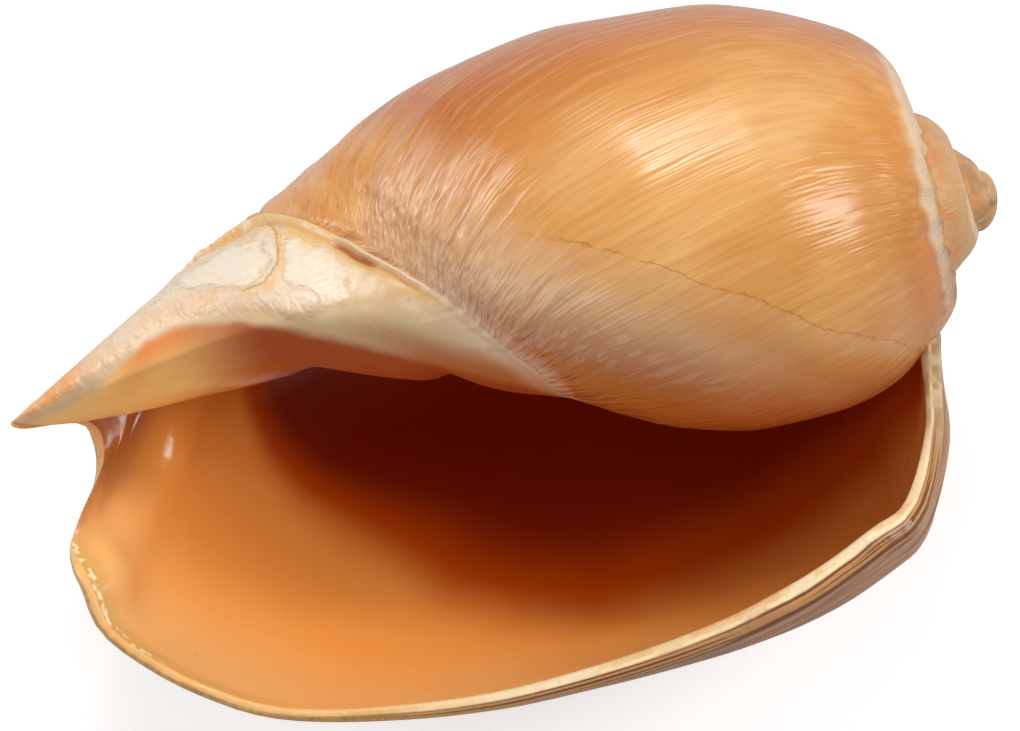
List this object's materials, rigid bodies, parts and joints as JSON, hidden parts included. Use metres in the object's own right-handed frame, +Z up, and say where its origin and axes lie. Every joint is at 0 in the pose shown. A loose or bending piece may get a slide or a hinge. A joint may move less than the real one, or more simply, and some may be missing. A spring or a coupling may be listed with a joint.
{
  "type": "volute shell",
  "caption": "Large glossy orange volute sea-snail shell lying on its back, with a wide aperture and a worn cream siphonal end.",
  "frame": {"origin": "centre of the bounding box in X and Y, at the lowest point of the shell as it lies at rest", "axes": "+X along the shell towards its apex, +Y towards the shoulder and the top of the body whorl, +Z up; the shell lies on its back with the aperture facing up and towards -Y, and the siphonal notch at -X"},
  "size_m": [0.1506, 0.102, 0.0819],
  "materials": {
    "glazed_shell": "natural shell glaze, glossy"
  },
  "bodies": {
    "root": {"shell": "glazed_shell"}
  },
  "joints": []
}
